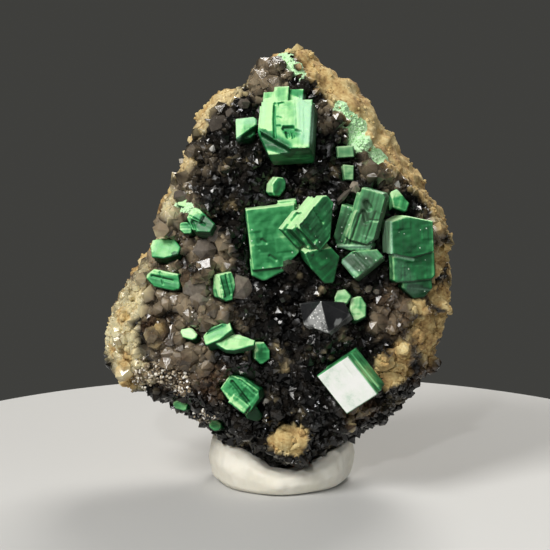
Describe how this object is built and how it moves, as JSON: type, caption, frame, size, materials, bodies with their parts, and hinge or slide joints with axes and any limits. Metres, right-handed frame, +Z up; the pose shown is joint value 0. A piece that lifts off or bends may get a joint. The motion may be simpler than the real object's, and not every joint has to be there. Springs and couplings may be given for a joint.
{
  "type": "mineral specimen",
  "caption": "Torbernite mineral specimen: square green tablets on a dark smoky quartz druse over tan host rock, standing upright in a foot of white putty.",
  "frame": {"origin": "centre of the putty foot's flat underside", "axes": "+Z up, the green crystals face -Y, +X to the right of someone who looks at them"},
  "size_m": [0.0246, 0.0162, 0.031],
  "materials": {
    "smoky_quartz": "glassy quartz points over rough host rock",
    "torbernite": "glassy to pearly crystal faces",
    "putty": "soft matte putty"
  },
  "bodies": {
    "root": {"matrix": "smoky_quartz", "putty": "putty", "torbernite_bead": "torbernite", "torbernite_book": "torbernite", "torbernite_centre": "torbernite", "torbernite_crown": "torbernite", "torbernite_crown_side": "torbernite", "torbernite_edge": "torbernite", "torbernite_flake": "torbernite", "torbernite_foot": "torbernite", "torbernite_hollow": "torbernite", "torbernite_inner_left": "torbernite", "torbernite_leaf": "torbernite", "torbernite_left": "torbernite", "torbernite_left_knob": "torbernite", "torbernite_low": "torbernite", "torbernite_pearly": "torbernite", "torbernite_rim_lower": "torbernite", "torbernite_rim_right": "torbernite", "torbernite_rim_upper": "torbernite", "torbernite_right": "torbernite", "torbernite_shoulder": "torbernite", "torbernite_shoulder_cap": "torbernite", "torbernite_stray": "torbernite"}
  },
  "joints": []
}
